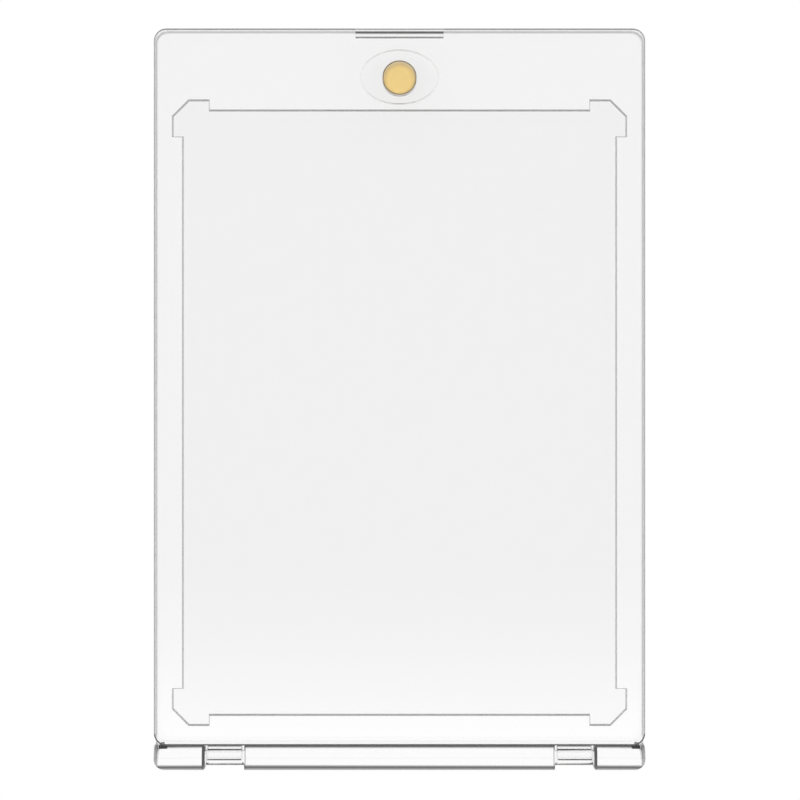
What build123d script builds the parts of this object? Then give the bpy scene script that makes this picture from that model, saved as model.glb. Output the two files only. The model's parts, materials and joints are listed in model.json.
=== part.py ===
from build123d import *
from math import atan2, cos, degrees, radians, sin, sqrt
import os

# Trading card display case: two clear moulded halves that close face to face over one card.
# The case lies on its back. X runs across its width, +Y points to its magnet end, +Z points out
# of its front, and the origin is under the middle of the closed case. Sizes are in millimetres.

# The closed case
case_width = 72.5
case_height = 109.6
case_thickness = 6.6
corner_radius = 1.8
edge_radius = 0.3
parting_gap = 0.05

# The card and its pocket, sunk in the base. The reliefs keep the card's corners from being knocked.
card_width = 63.5
card_height = 88.9
card_clearance = 0.42
pocket_depth = 1.0
pocket_to_top = 11.81
relief_depth = 1.5
relief_reach = 3.95
relief_chamfer = 2.4
pocket_rim_chamfer = 0.08
pocket_floor_chamfer = 0.12

# The magnets, each under an oval cap that is flush with the outside
magnet_diameter = 5.0
magnet_thickness = 1.5
magnet_edge_radius = 0.4
magnet_to_top = 7.2
magnet_clearance = 0.05
magnet_headroom = 0.1
magnet_floor = 0.625
cap_length = 11.4
cap_height = 7.9
cap_clearance = 0.05
cap_edge_chamfer = 0.08
glue_film = 0.05

# The nail slot in the cover's top edge, and the bevel on the base that leads a nail into it
slot_width = 13.0
slot_depth = 1.25
slot_lip = 1.35
slot_floor_radius = 0.2
slot_bevel = 0.4

# The snap hinge: two pins moulded across gaps in the base's rail, and two clips on the cover.
# The rail is round about the pins, and the clips lie a little under its outline.
pin_radius = 1.12
pin_clearance = 0.1
clip_wall = 0.55
clip_recess = 0.09
clip_width = 5.0
clip_side_clearance = 0.4
clip_spacing = 51.7
clip_front_angle = 97.5
clip_rear_angle = 220.0
clip_tip_radius = 0.15
clip_neck_rise = 1.1
clip_neck_radius = 0.4
rail_clearance = 0.1
window_clearance = 0.2
knuckle_end_radius = 0.5

# Levels and lines that follow from the sizes above
half_thickness = (case_thickness - parting_gap) / 2
cover_back = case_thickness - half_thickness
top_line = case_height / 2
bottom_line = -case_height / 2
pocket_width = card_width + 2 * card_clearance
pocket_height = card_height + 2 * card_clearance
pocket_middle = top_line - pocket_to_top - pocket_height / 2
magnet_line = top_line - magnet_to_top
magnet_pocket_depth = half_thickness - magnet_floor
magnet_depth = magnet_pocket_depth - glue_film - magnet_thickness
rebate_depth = magnet_depth - magnet_headroom
cap_thickness = rebate_depth - glue_film
clip_bore_radius = pin_radius + pin_clearance
clip_radius = clip_bore_radius + clip_wall
rail_radius = clip_radius + clip_recess
hinge_line = bottom_line + rail_radius
hinge_level = case_thickness - rail_radius
rail_edge = hinge_line + rail_radius
cover_edge = rail_edge + rail_clearance
gap_width = clip_width + 2 * clip_side_clearance
gap_outer_side = (clip_spacing + gap_width) / 2
sides = (-1, 1)

# Each clip dips into its window, which is as long as the dip at the parting level
hinge_rise = min(max(hinge_level - half_thickness, 0), clip_radius)
window_edge = hinge_line + sqrt(clip_radius**2 - hinge_rise**2) + window_clearance

# Where the flat top of the clip's neck meets the round of its hook, as seen from the side
neck_reach = sqrt(clip_radius**2 - clip_neck_rise**2)
neck_corner = (hinge_line + neck_reach, hinge_level + clip_neck_rise)

front_face = Plane.XY.offset(case_thickness)
parting_plane = Plane.XY.offset(case_thickness / 2)


def rounded_corner(x, y, away, radius):
    """Widens a window so that the block beside it ends in a corner rounded to the radius."""
    with Locations((x + away * radius / 2, y + radius / 2)):
        Rectangle(radius, radius)
    with Locations((x + away * radius, y + radius)):
        Circle(radius, mode=Mode.SUBTRACT)


def bearing(corner):
    """The direction of a corner of the clip's outline from the hinge line, in degrees."""
    return degrees(atan2(corner.Y - hinge_level, corner.X - hinge_line)) % 360


# What is cut from a half for its magnet: the oval rebate and the round pocket under it
with BuildPart() as magnet_seat:
    with BuildSketch(front_face):
        with Locations((0, magnet_line)):
            Ellipse(cap_length / 2 + cap_clearance, cap_height / 2 + cap_clearance)
    extrude(amount=-rebate_depth)
    with BuildSketch(front_face):
        with Locations((0, magnet_line)):
            Circle(magnet_diameter / 2 + magnet_clearance)
    extrude(amount=-magnet_pocket_depth)

# The base is the rear half. It holds the card pocket and carries the hinge rail.
with BuildPart() as base_shell:
    with BuildSketch():
        RectangleRounded(case_width, case_height, corner_radius)
    extrude(amount=half_thickness)

    # The rail stands to the full thickness and is round about the hinge line
    with BuildSketch(Plane.YZ.offset(-case_width / 2)):
        with Locations((hinge_line, hinge_level)):
            Circle(rail_radius)
        with Locations((hinge_line, hinge_level / 2)):
            Rectangle(2 * rail_radius, hinge_level)
    extrude(amount=case_width)
    with BuildSketch():
        RectangleRounded(case_width, case_height, corner_radius)
    extrude(amount=case_thickness, mode=Mode.INTERSECT)
    fillet(base_shell.faces().sort_by(Axis.Z)[0].edges(), edge_radius)

    # Two gaps part the rail into three knuckles
    with BuildSketch(Plane.XY.offset(half_thickness)):
        for side in sides:
            with Locations((side * clip_spacing / 2, hinge_line)):
                Rectangle(gap_width, 2 * rail_radius)
    extrude(amount=case_thickness - half_thickness, mode=Mode.SUBTRACT)

    # The outer knuckles are rounded where they face the gaps
    for side in sides:
        knuckle_end = (
            base_shell.faces()
            .filter_by(Axis.X)
            .filter_by_position(Axis.X, side * gap_outer_side - 0.001, side * gap_outer_side + 0.001)
        )
        fillet(knuckle_end.edges().sort_by(Axis.Z)[1:], knuckle_end_radius)

    # A window under each gap goes through to the back
    with BuildSketch():
        for side in sides:
            with Locations((side * clip_spacing / 2, window_edge)):
                Rectangle(gap_width, window_edge - bottom_line, align=(Align.CENTER, Align.MAX))
            rounded_corner(side * gap_outer_side, bottom_line, side, knuckle_end_radius)
    extrude(amount=half_thickness, mode=Mode.SUBTRACT)

    # A pin crosses each gap on the hinge line
    for side in sides:
        with BuildSketch(Plane.YZ.offset(side * clip_spacing / 2)):
            with Locations((hinge_line, hinge_level)):
                Circle(pin_radius)
        extrude(amount=gap_width / 2, both=True)

    # The card pocket, with a chamfered relief round each corner of the card
    with BuildSketch(Plane.XY.offset(half_thickness)):
        relief_size = relief_depth + relief_reach
        with Locations((0, pocket_middle)):
            with GridLocations(
                pocket_width + 2 * relief_depth - relief_size,
                pocket_height + 2 * relief_depth - relief_size,
                2,
                2,
            ):
                Rectangle(relief_size, relief_size)
        relief_corners = (
            vertices().group_by(Axis.X)[0] + vertices().group_by(Axis.X)[-1]
        ).filter_by(lambda v: abs(abs(v.Y - pocket_middle) - pocket_height / 2 - relief_depth) < 0.01)
        chamfer(relief_corners, relief_chamfer)
        with Locations((0, pocket_middle)):
            Rectangle(pocket_width, pocket_height)
    extrude(amount=-pocket_depth, mode=Mode.SUBTRACT)
    chamfer(base_shell.edges(Select.LAST).group_by(Axis.Z)[0], pocket_floor_chamfer)
    pocket_rim = (
        base_shell.faces()
        .filter_by(Plane.XY)
        .filter_by_position(Axis.Z, half_thickness - 0.001, half_thickness + 0.001)
        .sort_by(SortBy.AREA)[-1]
        .inner_wires()[0]
    )
    chamfer(pocket_rim.edges(), pocket_rim_chamfer)

    # The base's front edge is bevelled under the cover's nail slot
    with BuildSketch(Plane.YZ):
        Polygon(
            (top_line, half_thickness),
            (top_line - slot_bevel, half_thickness),
            (top_line, half_thickness - slot_bevel),
            align=None,
        )
    extrude(amount=slot_width / 2, both=True, mode=Mode.SUBTRACT)

    add(mirror(magnet_seat.part, about=parting_plane), mode=Mode.SUBTRACT)
    chamfer(base_shell.edges().filter_by(GeomType.ELLIPSE).sort_by(Axis.Z)[0], cap_edge_chamfer)

# The cover is the front half. Its clips reach from its bottom edge round the pins of the base.
with BuildPart() as front_cover:
    with BuildSketch(Plane.XY.offset(cover_back)):
        with Locations((0, (top_line + cover_edge) / 2)):
            RectangleRounded(case_width, top_line - cover_edge, corner_radius)
    extrude(amount=half_thickness)
    fillet(front_cover.faces().sort_by(Axis.Z)[-1].edges(), edge_radius)

    # The nail slot is open to the parting plane and to the top edge, behind a thin lip
    with BuildSketch(Plane.XY.offset(cover_back)):
        with Locations((0, top_line)):
            Rectangle(slot_width, slot_depth, align=(Align.CENTER, Align.MAX))
    extrude(amount=half_thickness - slot_lip, mode=Mode.SUBTRACT)
    slot_edges = front_cover.edges(Select.LAST).filter_by(Axis.X).group_by(Axis.Y)[0]
    fillet(slot_edges.sort_by(Axis.Z)[-1], slot_floor_radius)

    # Each clip is a hook on a neck. It wraps the pin by more than half, so that it snaps on.
    for side in sides:
        with BuildSketch(Plane.YZ.offset(side * clip_spacing / 2)):
            with Locations((hinge_line, hinge_level)):
                Circle(clip_radius)
            with Locations((hinge_line, cover_back)):
                Rectangle(
                    rail_radius + rail_clearance + edge_radius,
                    hinge_level + clip_neck_rise - cover_back,
                    align=(Align.MIN, Align.MIN),
                )
            fillet(vertices().sort_by_distance(neck_corner)[0], clip_neck_radius)
            with Locations((hinge_line, hinge_level)):
                Circle(clip_bore_radius, mode=Mode.SUBTRACT)
                mouth_angles = [
                    clip_front_angle + step * (clip_rear_angle - clip_front_angle) / 3
                    for step in range(4)
                ]
                rim = [
                    (2 * clip_radius * cos(radians(angle)), 2 * clip_radius * sin(radians(angle)))
                    for angle in mouth_angles
                ]
                Polygon((0, 0), *rim, align=None, mode=Mode.SUBTRACT)
            clip_tips = vertices().filter_by(
                lambda v: round(bearing(v), 3) in (clip_front_angle, clip_rear_angle)
            )
            fillet(clip_tips, clip_tip_radius)
        extrude(amount=clip_width / 2, both=True)

    add(magnet_seat.part, mode=Mode.SUBTRACT)
    chamfer(front_cover.edges().filter_by(GeomType.ELLIPSE).sort_by(Axis.Z)[-1], cap_edge_chamfer)

# A gold plated disc magnet lies on the floor of each pocket, close to the parting plane
with BuildPart() as front_magnet:
    with BuildSketch(Plane.XY.offset(case_thickness - magnet_depth)):
        with Locations((0, magnet_line)):
            Circle(magnet_diameter / 2)
    extrude(amount=-magnet_thickness)
    fillet(front_magnet.edges(), magnet_edge_radius)

with BuildPart() as rear_magnet:
    add(mirror(front_magnet.part, about=parting_plane))

# A clear oval cap closes each pocket
with BuildPart() as front_magnet_cap:
    with BuildSketch(front_face):
        with Locations((0, magnet_line)):
            Ellipse(cap_length / 2, cap_height / 2)
    extrude(amount=-cap_thickness)
    chamfer(front_magnet_cap.edges().sort_by(Axis.Z)[-1], cap_edge_chamfer)

with BuildPart() as rear_magnet_cap:
    add(mirror(front_magnet_cap.part, about=parting_plane))

os.makedirs("parts", exist_ok=True)
pieces = {
    "base_shell": base_shell,
    "front_cover": front_cover,
    "front_magnet": front_magnet,
    "rear_magnet": rear_magnet,
    "front_magnet_cap": front_magnet_cap,
    "rear_magnet_cap": rear_magnet_cap,
}
for name, piece in pieces.items():
    piece.part.label = name
    export_step(piece.part, f"parts/{name}.step")
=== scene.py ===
import json
from math import atan2, degrees, hypot, radians

import bmesh
import bpy
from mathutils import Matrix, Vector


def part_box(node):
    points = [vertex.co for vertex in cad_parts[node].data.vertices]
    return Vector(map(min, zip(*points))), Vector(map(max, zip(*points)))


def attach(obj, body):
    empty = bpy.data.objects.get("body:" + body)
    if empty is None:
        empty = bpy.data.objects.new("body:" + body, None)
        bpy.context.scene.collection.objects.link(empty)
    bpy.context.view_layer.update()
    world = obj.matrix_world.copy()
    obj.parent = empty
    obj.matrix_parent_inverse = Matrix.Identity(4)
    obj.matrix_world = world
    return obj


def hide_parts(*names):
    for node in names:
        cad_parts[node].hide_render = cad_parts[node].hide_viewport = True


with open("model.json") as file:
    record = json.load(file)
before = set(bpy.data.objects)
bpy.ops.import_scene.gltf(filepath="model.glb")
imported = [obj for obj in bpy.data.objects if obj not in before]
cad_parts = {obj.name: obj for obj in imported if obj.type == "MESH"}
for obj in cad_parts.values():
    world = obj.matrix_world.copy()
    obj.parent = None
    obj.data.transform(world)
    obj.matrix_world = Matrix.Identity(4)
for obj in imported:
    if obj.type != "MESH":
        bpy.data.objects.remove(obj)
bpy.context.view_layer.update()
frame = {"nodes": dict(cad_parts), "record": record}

camera = {
    "aimX": 0.00007,
    "aimY": 0.0,
    "height": 0.4066,  # 400 mm above the front of the closed case
    "lens": 122.1,
    "sensor": 36.0,
    "nearest": 0.01,
    "farthest": 20.0,
}


def makeCamera():
    data = bpy.data.cameras.new("camera")
    data.lens = camera["lens"]
    data.sensor_width = camera["sensor"]
    data.clip_start = camera["nearest"]
    data.clip_end = camera["farthest"]
    obj = bpy.data.objects.new("camera", data)
    obj.location = (camera["aimX"], camera["aimY"], camera["height"])
    bpy.context.collection.objects.link(obj)
    bpy.context.scene.camera = obj
    bpy.context.scene.view_settings.view_transform = "Standard"
    print("camera placed")


def addNode(tree, kind, **settings):
    node = tree.nodes.new(kind)
    for key, value in settings.items():
        setattr(node, key, value)
    return node


def addRamp(tree, stops, source):
    # stops are pairs of a place and a grey, or a place and a colour
    ramp = addNode(tree, "ShaderNodeValToRGB")
    points = ramp.color_ramp.elements
    while len(points) < len(stops):
        points.new(0.5)
    for point, (place, shade) in zip(points, stops):
        point.position = place
        point.color = (*shade, 1) if isinstance(shade, tuple) else (shade, shade, shade, 1)
    tree.links.new(source, ramp.inputs[0])
    return ramp.outputs[0]


def addMath(tree, operation, *values):
    node = addNode(tree, "ShaderNodeMath", operation=operation)
    for socket, value in zip(node.inputs, values):
        if isinstance(value, (int, float)):
            socket.default_value = value
        else:
            tree.links.new(value, socket)
    return node.outputs[0]


def addMix(tree, factor, first, second, blend="MIX"):
    mix = addNode(tree, "ShaderNodeMix", data_type="RGBA", blend_type=blend)
    # of a colour mix's sockets, 0 is the factor, and 6 and 7 are its two colours
    for place, value in ((0, factor), (6, first), (7, second)):
        if isinstance(value, bpy.types.NodeSocket):
            tree.links.new(value, mix.inputs[place])
        else:
            mix.inputs[place].default_value = value
    return mix.outputs[2]


def addNoise(tree, source, scale, detail=2.0, roughness=0.5):
    noise = addNode(tree, "ShaderNodeTexNoise")
    for key, value in (("Scale", scale), ("Detail", detail), ("Roughness", roughness)):
        noise.inputs[key].default_value = value
    tree.links.new(source, noise.inputs["Vector"])
    return noise.outputs[0]


def newMaterial(name):
    mat = bpy.data.materials.new(name)
    mat.use_nodes = True
    tree = mat.node_tree
    return mat, tree, tree.nodes["Principled BSDF"], tree.nodes["Material Output"]


studio = {
    "floorSize": 4.0,
    "floorLevel": -0.0001,
    "floorColour": 0.22,
    "floorLift": 0.808,  # what the lit paper falls short of white
    # the sky is darker round the camera, which is what the flat faces mirror: its grey by how far a
    # direction leans to the sides and along the case, and how bright it may be by its height
    "across": [(0.10, 0.0), (0.15, 1.0)],
    "along": [(-0.127, 1.0), (-0.112, 0.82), (-0.09, 0.5), (-0.062, 0.29), (0.16, 0.27), (0.24, 1.0)],
    "alongShift": 0.5,  # a ramp's places start at 0
    "up": [(0.0, 0.5), (0.3, 0.75), (0.65, 1.0)],
}


def makeWorld():
    world = bpy.data.worlds.new("studio")
    bpy.context.scene.world = world
    world.use_nodes = True
    tree = world.node_tree
    coord = addNode(tree, "ShaderNodeTexCoord")
    split = addNode(tree, "ShaderNodeSeparateXYZ")
    tree.links.new(coord.outputs["Generated"], split.inputs[0])
    across = addRamp(tree, studio["across"], addMath(tree, "ABSOLUTE", split.outputs["X"]))
    shift = studio["alongShift"]
    along = [(place + shift, grey) for place, grey in studio["along"]]
    along = addRamp(tree, along, addMath(tree, "ADD", split.outputs["Y"], shift))
    # seen by the camera or through the plastic, the sky is white down to the floor
    path = addNode(tree, "ShaderNodeLightPath")
    seen = addMath(tree, "MAXIMUM", path.outputs["Is Camera Ray"], path.outputs["Is Transmission Ray"])
    up = addMath(tree, "MAXIMUM", addRamp(tree, studio["up"], split.outputs["Z"]), seen)
    sky = addMath(tree, "MINIMUM", addMath(tree, "MAXIMUM", across, along), up)
    tree.links.new(sky, tree.nodes["Background"].inputs["Color"])
    print("world lit")


def makeFloor():
    bpy.ops.mesh.primitive_plane_add(size=studio["floorSize"], location=(0, 0, studio["floorLevel"]))
    floor = bpy.context.object
    floor.name = "floor"
    mat, tree, shader, out = newMaterial("paper_floor")
    tree.nodes.remove(shader)
    diffuse = addNode(tree, "ShaderNodeBsdfDiffuse")
    grey = studio["floorColour"]
    diffuse.inputs["Color"].default_value = (grey, grey, grey, 1)
    glow = addNode(tree, "ShaderNodeEmission")
    both = addNode(tree, "ShaderNodeAddShader")
    path = addNode(tree, "ShaderNodeLightPath")
    seen = addMath(tree, "MAXIMUM", path.outputs["Is Camera Ray"], path.outputs["Is Glossy Ray"])
    seen = addMath(tree, "MAXIMUM", seen, path.outputs["Is Transmission Ray"])
    tree.links.new(addMath(tree, "MULTIPLY", seen, studio["floorLift"]), glow.inputs["Strength"])
    tree.links.new(diffuse.outputs[0], both.inputs[0])
    tree.links.new(glow.outputs[0], both.inputs[1])
    tree.links.new(both.outputs[0], out.inputs["Surface"])
    floor.data.materials.append(mat)
    print("floor laid")


plastic = {
    "ior": 1.49,
    # its grey and the light that its shadow lets through, where the tone is none and where it is full; the
    # dark grey at full tone is painted shade on the plastic's edges
    "clear": 0.997,
    "edge": 0.06,
    "shadow": 0.995,
    "edgeShadow": 0.6,
    "edgeRoughness": 0.25,
    # fine scuffs: how stretched, how many, and how rough they are
    "scuffStretch": (1.0, 22.0, 1.0),
    "scuffTurn": radians(28),
    "scuffScale": 160.0,
    "scuffRange": (0.66, 0.72),
    "scuffRoughness": 0.02,
}

# Each finish has a tone, which is painted shade: how dark the surface is painted by how far it turns to
# the front or back, for the dark edges and lines that clear plastic shows: 0 stands upright and 1 lies
# flat. On the frosted back edge the tone sets how frosted it is instead. Loss is how much of the light a
# full tone takes away, and ease is how much lighter the tone is where the surface faces the sides.
shadeFinishes = {
    # the cover's faces and rounded outer edges, and the outside of the caps
    "rim": {
        "tone": [(0.0, 0.0), (0.04, 1.0), (0.6, 1.0), (0.9, 0.9), (0.97, 0.5), (0.995, 0.2), (1.0, 0.0)],
        "loss": 0.8,
        "ease": 0.4,
    },
    # the thin edge over the nail slot
    "bridge": {
        "tone": [(0.0, 0.0), (0.04, 0.75), (0.6, 0.75), (0.9, 0.6), (0.97, 0.3), (0.995, 0.0), (1.0, 0.0)],
        "loss": 0.8,
        "ease": 0.4,
    },
    # the outer walls of both halves, and the upright ends of the rail's gaps
    "side": {"tone": [(0.0, 0.3), (0.1, 0.3), (0.3, 0.0)], "loss": 0.8, "ease": 0.2},
    # all the rest of the base
    "plain": {"tone": [(0.0, 0.0), (1.0, 0.0)], "loss": 0.0, "ease": 0.0},
    # the rounded back edge, pale and a little rough
    "frost": {
        "tone": [(0.0, 1.0), (0.93, 1.0), (0.995, 0.4), (1.0, 0.0)],
        "loss": 0.9,
        "ease": 0.0,
        "edge": 0.95,
        "rough": 0.6,
    },
    # the inside of the nail slot
    "slot": {"tone": [(0.0, 0.85), (0.9, 0.95), (0.97, 0.0)], "loss": 0.85, "ease": 0.5},
    # the two ends of the rail
    "end": {"tone": [(0.0, 1.0), (0.9, 1.0), (0.98, 0.0)], "loss": 1.0, "ease": 0.0},
    # the cover's wall behind the rail
    "foot": {"tone": [(0.0, 0.8), (1.0, 0.8)], "loss": 0.8, "ease": 0.0},
    # the sides of the gaps that the clips stand in, nearest the middle
    "gapSide": {"tone": [(0.0, 1.0), (0.1, 1.0), (0.3, 0.0)], "loss": 1.0, "ease": 0.0},
    # painted shade on the rail's inner side under the cover's two bottom corners
    "corner": {"tone": [(0.0, 1.0), (0.6, 1.0), (0.64, 0.0), (1.0, 0.0)], "loss": 0.9, "ease": 0.0},
    # painted shade where the clips leave the cover, and on the base's face under the cover's bottom corners
    "root": {"tone": [(0.0, 1.0), (1.0, 0.9)], "loss": 0.9, "ease": 0.0},
    # the pocket's wall nearest the hinge
    "lower": {"tone": [(0.0, 0.7), (0.9, 0.75), (0.97, 0.0)], "loss": 0.75, "ease": 0.5},
    # the cover's edge along the rail, the clips' tips and the bevel in front of the nail slot
    "lip": {"tone": [(0.0, 0.9), (0.9, 1.0), (0.98, 0.9), (0.998, 0.0)], "loss": 0.9, "ease": 0.0},
    # the rail's outer round
    "rail": {
        "tone": [(0.0, 0.15), (0.1, 0.15), (0.2, 0.6), (0.55, 0.8), (0.7, 1.0), (0.82, 0.8), (0.89, 0.0)],
        "loss": 0.8,
        "ease": 0.0,
    },
    # the rail's inner side
    "flank": {"tone": [(0.0, 0.95), (0.4, 0.95), (0.55, 0.4), (0.64, 0.0)], "loss": 0.8, "ease": 0.0},
    # the pins and the clips
    "round": {"tone": [(0.0, 0.9), (0.2, 0.8), (0.35, 0.2), (0.5, 0.0)], "loss": 0.8, "ease": 0.0},
    # the pocket's other walls and its reliefs
    "pocket": {"tone": [(0.0, 0.6), (0.9, 0.7), (0.97, 0.0)], "loss": 0.7, "ease": 0.3},
    # the fine chamfers round the caps
    "fine": {"tone": [(0.0, 0.5), (0.5, 0.6), (0.95, 0.5), (0.99, 0.0)], "loss": 0.5, "ease": 0.85},
    # the pocket's floor, a little greyer than the rest
    "greyedFloor": {"tone": [(0.0, 0.0), (1.0, 0.0)], "loss": 0.0, "ease": 0.0, "clear": 0.935},
}
glues = {"glue": 1.0, "gluedEdge": 0.93}  # how much light goes through
finishNames = [*shadeFinishes, *glues]


def makeClear(name, shadeFinish):
    mat, tree, shader, out = newMaterial("clear_" + name)
    shader.inputs["IOR"].default_value = plastic["ior"]
    coord = addNode(tree, "ShaderNodeTexCoord")
    split = addNode(tree, "ShaderNodeSeparateXYZ")
    tree.links.new(coord.outputs["Normal"], split.inputs[0])
    tone = addRamp(tree, shadeFinish["tone"], addMath(tree, "ABSOLUTE", split.outputs["Z"]))
    ease = addMath(tree, "MULTIPLY", addMath(tree, "ABSOLUTE", split.outputs["X"]), shadeFinish["ease"])
    tone = addMath(tree, "MULTIPLY", tone, addMath(tree, "SUBTRACT", 1.0, ease))
    clear = shadeFinish.get("clear", plastic["clear"])
    edge = shadeFinish.get("edge", plastic["edge"])
    # painted shade: the grey darkens with the tone, and the loss below turns light going through into that
    # dark grey
    paintedShadeTint = addMix(tree, tone, (clear, clear, clear, 1), (edge, edge, edge, 1))
    tree.links.new(paintedShadeTint, shader.inputs["Base Color"])
    loss = addMath(tree, "MULTIPLY", tone, shadeFinish["loss"])
    tree.links.new(addMath(tree, "SUBTRACT", 1.0, loss), shader.inputs["Transmission Weight"])
    turn = addNode(tree, "ShaderNodeMapping")
    turn.inputs["Rotation"].default_value = (0, 0, plastic["scuffTurn"])
    turn.inputs["Scale"].default_value = plastic["scuffStretch"]
    tree.links.new(coord.outputs["Object"], turn.inputs[0])
    few, many = plastic["scuffRange"]
    scuff = addRamp(tree, [(few, 0.0), (many, 1.0)], addNoise(tree, turn.outputs[0], plastic["scuffScale"]))
    rough = addMath(tree, "MULTIPLY", tone, shadeFinish.get("rough", plastic["edgeRoughness"]))
    rough = addMath(tree, "MULTIPLY_ADD", scuff, plastic["scuffRoughness"], rough)
    tree.links.new(rough, shader.inputs["Roughness"])
    letShadowThrough(tree, shader, out, tone)
    return mat


def letShadowThrough(tree, shader, out, tone=None):
    see = addNode(tree, "ShaderNodeBsdfTransparent")
    if tone is not None:
        shade = addRamp(tree, [(0.0, plastic["shadow"]), (1.0, plastic["edgeShadow"])], tone)
        tree.links.new(shade, see.inputs["Color"])
    mix = addNode(tree, "ShaderNodeMixShader")
    path = addNode(tree, "ShaderNodeLightPath")
    tree.links.new(path.outputs["Is Shadow Ray"], mix.inputs[0])
    tree.links.new(shader.outputs[0], mix.inputs[1])
    tree.links.new(see.outputs[0], mix.inputs[2])
    tree.links.new(mix.outputs[0], out.inputs["Surface"])


def makeGlue(name, grey):
    # clear glue joins the plastic on both sides, so light goes straight on
    mat, tree, shader, out = newMaterial("clear_" + name)
    shader.inputs["Base Color"].default_value = (grey, grey, grey, 1)
    shader.inputs["IOR"].default_value = 1.0
    shader.inputs["Roughness"].default_value = 0.0
    shader.inputs["Transmission Weight"].default_value = 1.0
    letShadowThrough(tree, shader, out)
    return mat


magnet = {
    "sides": 96,
    "edgeRadius": 0.0002,
    "edgeSteps": 5,
    "edgeAngle": radians(60),
    # the plating's colour, from the middle of the disc to past its rim; the darker ring near the rim is
    # painted shade, and the paler colour past it is painted light
    "platingAndShade": [
        (0.60, (0.945, 0.71, 0.29)),
        (0.70, (0.85, 0.63, 0.27)),
        (0.80, (0.70, 0.53, 0.27)),
        (0.86, (0.71, 0.57, 0.35)),
        (0.96, (0.97, 0.79, 0.50)),
    ],
    "reach": 1.15,  # how many of the disc's radii those places are counted over
    # the painted shade ring and the painted light sit off-centre by this much, so the top and bottom of the
    # rim are painted differently
    "lean": 0.0003,  # how far below the disc's middle they start
    "mottleScale": 1100.0,
    "mottle": [(0.3, 0.93), (0.7, 1.0)],
    "roughness": [(0.3, 0.36), (0.7, 0.46)],
    # turning marks, one in about 0.12 mm
    "turnScale": 54000.0,
    "turnDepth": 0.000002,
}


def makeGold(low, high):
    mat, tree, shader, out = newMaterial("gold_plating")
    coord = addNode(tree, "ShaderNodeTexCoord")
    centre = addNode(tree, "ShaderNodeMapping")
    middleY = (low[1] + high[1]) / 2 - magnet["lean"]
    centre.inputs["Location"].default_value = (-(low[0] + high[0]) / 2, -middleY, 0)
    tree.links.new(coord.outputs["Object"], centre.inputs[0])
    split = addNode(tree, "ShaderNodeSeparateXYZ")
    tree.links.new(centre.outputs[0], split.inputs[0])
    squares = [addMath(tree, "MULTIPLY", line, line) for line in split.outputs[:2]]
    away = addMath(tree, "SQRT", addMath(tree, "ADD", *squares))
    reach = magnet["reach"] * (high[0] - low[0]) / 2
    # the gold's colour, with the painted shade ring and the painted lighter rim
    platingAndShade = addRamp(tree, magnet["platingAndShade"], addMath(tree, "DIVIDE", away, reach))
    noise = addNoise(tree, centre.outputs[0], magnet["mottleScale"], detail=4.0)
    mottled = addMix(tree, 1.0, platingAndShade, addRamp(tree, magnet["mottle"], noise), blend="MULTIPLY")
    tree.links.new(mottled, shader.inputs["Base Color"])
    tree.links.new(addRamp(tree, magnet["roughness"], noise), shader.inputs["Roughness"])
    rings = addMath(tree, "SINE", addMath(tree, "MULTIPLY", away, magnet["turnScale"]))
    bump = addNode(tree, "ShaderNodeBump")
    bump.inputs["Distance"].default_value = magnet["turnDepth"]
    tree.links.new(addMath(tree, "ADD", rings, noise), bump.inputs["Height"])
    tree.links.new(bump.outputs[0], shader.inputs["Normal"])
    shader.inputs["Metallic"].default_value = 1.0
    return mat


def finishPiece(shape, name, node, body, materials):
    mesh = bpy.data.meshes.new(name)
    for material in materials:
        mesh.materials.append(material)
    shape.to_mesh(mesh)
    shape.free()
    piece = bpy.data.objects.new(name, mesh)
    bpy.context.collection.objects.link(piece)
    weigh = piece.modifiers.new("weigh", "WEIGHTED_NORMAL")
    weigh.keep_sharp = True
    weigh.weight = 100  # the large flat faces stay flat up to their edges
    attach(piece, body)
    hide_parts(node)
    print(name, "made with", len(mesh.vertices), "vertices")
    return piece


def makeMagnet(node, body, material):
    low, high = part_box(node)
    shape = bmesh.new()
    radius = (high[0] - low[0]) / 2
    bmesh.ops.create_circle(shape, cap_ends=True, segments=magnet["sides"], radius=radius)
    grown = bmesh.ops.extrude_face_region(shape, geom=shape.faces[:])["geom"]
    top = [item for item in grown if isinstance(item, bmesh.types.BMVert)]
    bmesh.ops.translate(shape, vec=(0, 0, high[2] - low[2]), verts=top)
    bmesh.ops.recalc_face_normals(shape, faces=shape.faces[:])
    rims = [edge for edge in shape.edges if edge.calc_face_angle() > magnet["edgeAngle"]]
    bmesh.ops.bevel(
        shape,
        geom=rims,
        affect="EDGES",
        offset=magnet["edgeRadius"],
        segments=magnet["edgeSteps"],
        profile=0.5,
        material=-1,
    )
    middle = ((low[0] + high[0]) / 2, (low[1] + high[1]) / 2, low[2])
    bmesh.ops.translate(shape, vec=middle, verts=shape.verts[:])
    for face in shape.faces:
        face.smooth = True
    return finishPiece(shape, node + "_disc", node, body, [material])


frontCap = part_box("front_magnet_cap")
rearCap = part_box("rear_magnet_cap")
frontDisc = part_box("front_magnet")
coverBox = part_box("front_cover")
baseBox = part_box("base_shell")
backLevel = baseBox[0][2]
frontLevel = coverBox[1][2]
sideLine, topLine, _ = baseBox[1]
joints = frame["record"]["behaviour"]["joints"]
hingeAt = next(joint["pos_m"] for joint in joints if joint["name"] == "cover_hinge")
# the rail is round about the hinge line, and reaches as far into the case as up to the front
railEdge = hingeAt[1] + frontLevel - hingeAt[2]

moulding = {
    "crease": radians(30),
    "weld": 1e-6,
    "skin": 0.00001,  # how near a place has to be to count as on a surface
    # how much of a face's normal points to the front or back, or to the sides
    "flat": 0.99,
    "upright": 0.1,
    "sideways": 0.9,
    "leaning": 0.5,
}


def isBetween(value, ends):
    return ends[0] < value < ends[1]


seat = {
    "margin": 0.0001,
    "discReach": 0.0026,
}


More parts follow.
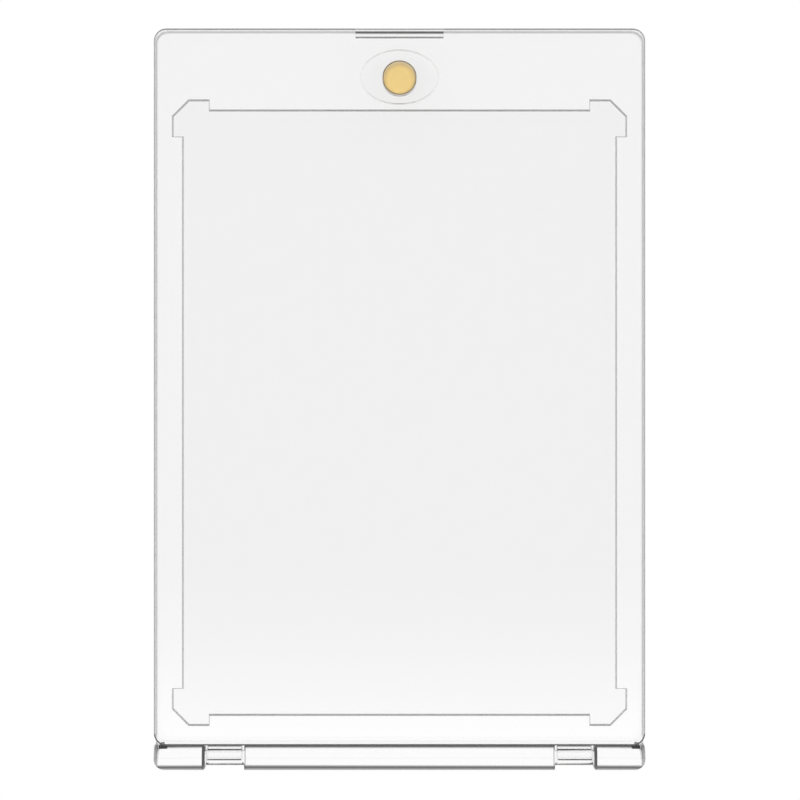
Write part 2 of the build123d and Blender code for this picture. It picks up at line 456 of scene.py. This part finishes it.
def isInSeat(spot):
    # between a cap or its rebate and the magnet under it, inside the outer skin
    (lowX, lowY, _), (highX, highY, _) = frontCap
    margin = seat["margin"]
    if not (lowX - margin < spot.x < highX + margin and lowY - margin < spot.y < highY + margin):
        return False
    discY = (frontDisc[0][1] + frontDisc[1][1]) / 2
    if hypot(spot.x, spot.y - discY) < seat["discReach"]:
        return False
    inRear = backLevel + moulding["skin"] < spot.z < rearCap[1][2] + margin
    inFront = frontCap[0][2] - margin < spot.z < frontLevel - moulding["skin"]
    return inRear or inFront


def seatFinish(face):
    # the faces that the glue wets don't show, and the fine chamfers outside it do
    if not moulding["upright"] < abs(face.normal.z) < moulding["flat"]:
        return "glue"
    return "fine" if face.calc_center_median().z > hingeAt[2] else "gluedEdge"


rail = {
    "reach": 0.0019,  # the rail, its pins and the clips lie this near the hinge line
    "front": railEdge + 0.00005,
    "facesCase": 0.2,
    "endInset": 0.00025,
    "endFloor": 0.0005,
    # the gaps, their inner sides, and the rounding of their outer sides
    "gapMiddle": 0.02585,
    "gapHalf": 0.0029,
    "gapSkin": 0.0001,
    "gapRound": (-0.00005, 0.00055),
    "gapRoundLean": 0.15,
    "gapRoundFloor": 0.0033,
    # the painted shade spots under the cover's bottom corners
    "cornerLines": (0.0343, 0.0348, 0.0356),
    "cornerFront": railEdge + 0.00038,
    "cornerFloor": 0.0025,
}


def isByHinge(spot):
    return hypot(spot.y - hingeAt[1], spot.z - hingeAt[2]) < rail["reach"]


def gapFinish(face, spot):
    fromMiddle = abs(spot.x) - rail["gapMiddle"]
    lean = abs(face.normal.x)
    isOuter = isBetween(fromMiddle - rail["gapHalf"], rail["gapRound"])
    if isOuter and lean > rail["gapRoundLean"] and spot.z > rail["gapRoundFloor"]:
        return "lip"
    isInner = abs(fromMiddle + rail["gapHalf"]) < rail["gapSkin"]
    return "gapSide" if isInner and lean > moulding["sideways"] else None


def railFinish(face, spot):
    away = abs(spot.x)
    lean = abs(face.normal.x)
    isEnd = away > sideLine - rail["endInset"] and lean > moulding["leaning"]
    if isEnd and spot.y < rail["front"] and spot.z > rail["endFloor"]:
        return "end"
    nearest, middle, farthest = rail["cornerLines"]
    isParting = face.normal.z > moulding["flat"] and spot.z > rail["cornerFloor"]
    if isParting and middle < away < farthest and rail["front"] < spot.y < rail["cornerFront"]:
        return "root"
    if not isByHinge(spot):
        return None
    if face.normal.y > rail["facesCase"] and away > nearest:
        return "side" if away > farthest else "corner"
    if lean > moulding["sideways"]:
        return "side"
    if abs(away - rail["gapMiddle"]) < rail["gapHalf"] + moulding["skin"]:
        return "round"
    return "flank" if spot.y > hingeAt[1] else "rail"


nailSlot = {
    "reach": 0.0066,
    "depth": 0.0014,
    "top": 0.0060,
    # the thin edge over the slot
    "bridgeReach": 0.00656,
    "bridgeDepth": 0.0004,
    # the bevel on the base that leads a nail into it
    "bevelDepth": 0.0005,
    "bevelFloor": 0.0028,
}


def bevelFinish(face, spot):
    isBevel = min(face.normal.y, face.normal.z) > moulding["leaning"] and spot.z > nailSlot["bevelFloor"]
    isAtSlot = abs(spot.x) < nailSlot["reach"] and spot.y > topLine - nailSlot["bevelDepth"]
    return "lip" if isBevel and isAtSlot else None


def slotFinish(spot):
    if spot.z < nailSlot["top"]:
        isInSlot = abs(spot.x) < nailSlot["reach"] and spot.y > topLine - nailSlot["depth"]
        return "slot" if isInSlot else None
    isOverSlot = abs(spot.x) < nailSlot["bridgeReach"] and spot.y > topLine - nailSlot["bridgeDepth"]
    return "bridge" if isOverSlot else None


pocket = {
    "ends": (-0.0495, 0.0447),
    "outerWall": 0.001,
    "floor": (0.0020, 0.0025),
    "lowerWall": -0.045,
    "lowerLean": 0.4,
}


def pocketFinish(face, spot):
    isInside = abs(spot.x) < sideLine - pocket["outerWall"] and isBetween(spot.y, pocket["ends"])
    if not isInside:
        return None
    if abs(face.normal.z) < moulding["flat"]:
        isLower = spot.y < pocket["lowerWall"] and face.normal.y > pocket["lowerLean"]
        return "lower" if isLower else "pocket"
    return "greyedFloor" if isBetween(spot.z, pocket["floor"]) else None


outside = {
    "backEdge": 0.0004,
    "railLine": -0.0512,
    "cornerLean": 0.3,
}


def outsideFinish(face, spot):
    isBackEdge = spot.z < outside["backEdge"] and abs(face.normal.z) < moulding["flat"]
    if isBackEdge and (spot.y > outside["railLine"] or abs(face.normal.x) > outside["cornerLean"]):
        return "frost"
    isOuter = max(abs(spot.x) - sideLine, spot.y - topLine) > -pocket["outerWall"]
    return "side" if isOuter and abs(face.normal.z) < moulding["upright"] else "plain"


def baseFinish(face):
    spot = face.calc_center_median()
    if isInSeat(spot):
        return seatFinish(face)
    return (
        gapFinish(face, spot)
        or railFinish(face, spot)
        or bevelFinish(face, spot)
        or pocketFinish(face, spot)
        or outsideFinish(face, spot)
    )


cover = {
    "foot": -0.0490,
    "facesRail": -0.03,
    "clipRoot": (railEdge - 0.00012, railEdge + 0.0001),
    "mouth": (88, 225),  # degrees round the hinge line, where a clip's two tips are
}


def clipFinish(spot):
    angle = degrees(atan2(spot.z - hingeAt[2], spot.y - hingeAt[1])) % 360
    return "lip" if isBetween(angle, cover["mouth"]) else "round"


def coverFinish(face):
    spot = face.calc_center_median()
    isUpright = abs(face.normal.z) < moulding["upright"]
    if isInSeat(spot):
        return seatFinish(face)
    if isByHinge(spot):
        return clipFinish(spot)
    if face.normal.y < cover["facesRail"] and spot.y < cover["foot"]:
        return "foot" if isUpright else "lip"
    if isBetween(spot.y, cover["clipRoot"]) and face.normal.z > moulding["flat"]:
        return "root"
    return slotFinish(spot) or ("side" if isUpright else "rim")


def capFinish(face):
    height = face.calc_center_median().z
    fromOutside = min(abs(height - backLevel), abs(height - frontLevel))
    if fromOutside < moulding["skin"] and abs(face.normal.z) > moulding["flat"]:
        return "rim"
    return seatFinish(face)


# lines where a finish ends in the middle of a face, so that the painted shade strips and spots have edges:
# across the case, and up both of its sides
splits = {
    "base_shell": {"across": (rail["front"], rail["cornerFront"]), "up": rail["cornerLines"]},
    "front_cover": {"across": cover["clipRoot"][:1], "up": (nailSlot["bridgeReach"],)},
}


def splitFaces(shape, lines):
    # the shape stays as it is, and only gets edges for its finishes to end at
    planes = [((0, y, 0), (0, 1, 0)) for y in lines["across"]]
    planes += [((side * x, 0, 0), (1, 0, 0)) for x in lines["up"] for side in (1, -1)]
    for place, facing in planes:
        everything = shape.verts[:] + shape.edges[:] + shape.faces[:]
        bmesh.ops.bisect_plane(shape, geom=everything, plane_co=place, plane_no=facing)


def makeMoulding(node, body, materials, pickFinish):
    # a welded copy of a moulding, with its radii shaded round and its sharp edges left sharp
    shape = bmesh.new()
    shape.from_mesh(frame["nodes"][node].data)
    bmesh.ops.remove_doubles(shape, verts=shape.verts, dist=moulding["weld"])
    bmesh.ops.dissolve_degenerate(shape, edges=shape.edges, dist=moulding["weld"])
    if node in splits:
        splitFaces(shape, splits[node])
    for face in shape.faces:
        face.smooth = True
        face.material_index = finishNames.index(pickFinish(face))
    for edge in shape.edges:
        edge.smooth = edge.calc_face_angle(0.0) < moulding["crease"]
    piece = finishPiece(shape, node + "_polished", node, body, materials)
    piece.visible_diffuse = False  # the floor's light comes through once, as its shadow does
    return piece


makeCamera()
makeWorld()
makeFloor()
clearFinishes = [makeClear(name, shadeFinish) for name, shadeFinish in shadeFinishes.items()]
clearFinishes += [makeGlue(name, grey) for name, grey in glues.items()]
goldPlating = makeGold(*frontDisc)
print("finishes mixed")
for name, obj in frame["nodes"].items():
    for slot in obj.material_slots:
        slot.material = goldPlating if name.endswith("magnet") else clearFinishes[0]
makeMoulding("base_shell", "base", clearFinishes, baseFinish)
makeMoulding("front_cover", "cover", clearFinishes, coverFinish)
for node, body in (("front_magnet_cap", "cover"), ("rear_magnet_cap", "base")):
    cap = makeMoulding(node, body, clearFinishes, capFinish)
    cap.visible_shadow = False  # the shell round it already shades the floor
makeMagnet("front_magnet", "cover", goldPlating)
makeMagnet("rear_magnet", "base", goldPlating)
